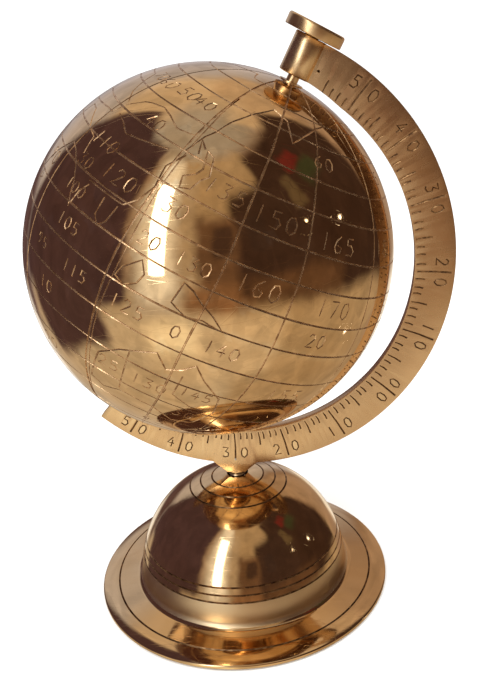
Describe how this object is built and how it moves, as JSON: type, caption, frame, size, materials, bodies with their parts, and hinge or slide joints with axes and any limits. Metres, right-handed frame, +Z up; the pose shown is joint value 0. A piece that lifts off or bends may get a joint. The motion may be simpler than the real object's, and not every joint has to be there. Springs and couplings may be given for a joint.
{
  "type": "desk globe",
  "caption": "Brass desk globe: a hollow engraved sphere turns between pivots in a tilted C-shaped scale arm that stands on a bell base.",
  "frame": {"origin": "centre of the base's underside", "axes": "+Z up, the arm lies in the XZ plane, the globe's axis leans towards +X and the arm passes on the +X side"},
  "size_m": [0.1479, 0.127, 0.2107],
  "materials": {
    "polished_brass": "polished",
    "satin_brass": "satin",
    "turned_brass": "turned",
    "plain_steel": "plain",
    "felt": "felt"
  },
  "bodies": {
    "stand": {"base_bell": "polished_brass", "felt_pad": "felt", "foot_collar": "turned_brass", "foot_stud": "plain_steel", "flat_washer": "plain_steel", "spring_washer": "plain_steel", "stud_nut": "plain_steel", "meridian_arm": "satin_brass", "pole_boss": "turned_brass", "south_pin": "turned_brass", "south_spacer": "turned_brass"},
    "screw": {"pivot_screw": "turned_brass"},
    "knob": {"thumb_knob": "turned_brass"},
    "globe": {"north_hemisphere": "polished_brass", "south_hemisphere": "polished_brass", "equator_band": "turned_brass", "north_bush": "turned_brass", "south_bush": "turned_brass"}
  },
  "joints": [
    {"name": "globe_spin", "type": "hinge", "parent": "stand", "child": "globe", "pos_m": [-0.0033, 0, 0.134], "axis": [0.4818, 0, 0.8763], "continuous": true},
    {"name": "screw_lift", "type": "slide", "parent": "stand", "child": "screw", "axis": [0.4818, 0, 0.8763], "range_m": [-0.0001, 0.0048]},
    {"name": "knob_turn", "type": "hinge", "parent": "screw", "child": "knob", "pos_m": [-0.0033, 0, 0.134], "axis": [0.4818, 0, 0.8763], "range_deg": [-45, 2160]}
  ],
  "couplings": [
    {"joint": "knob_turn", "follows": "screw_lift", "rad_per_m": 7854}
  ]
}
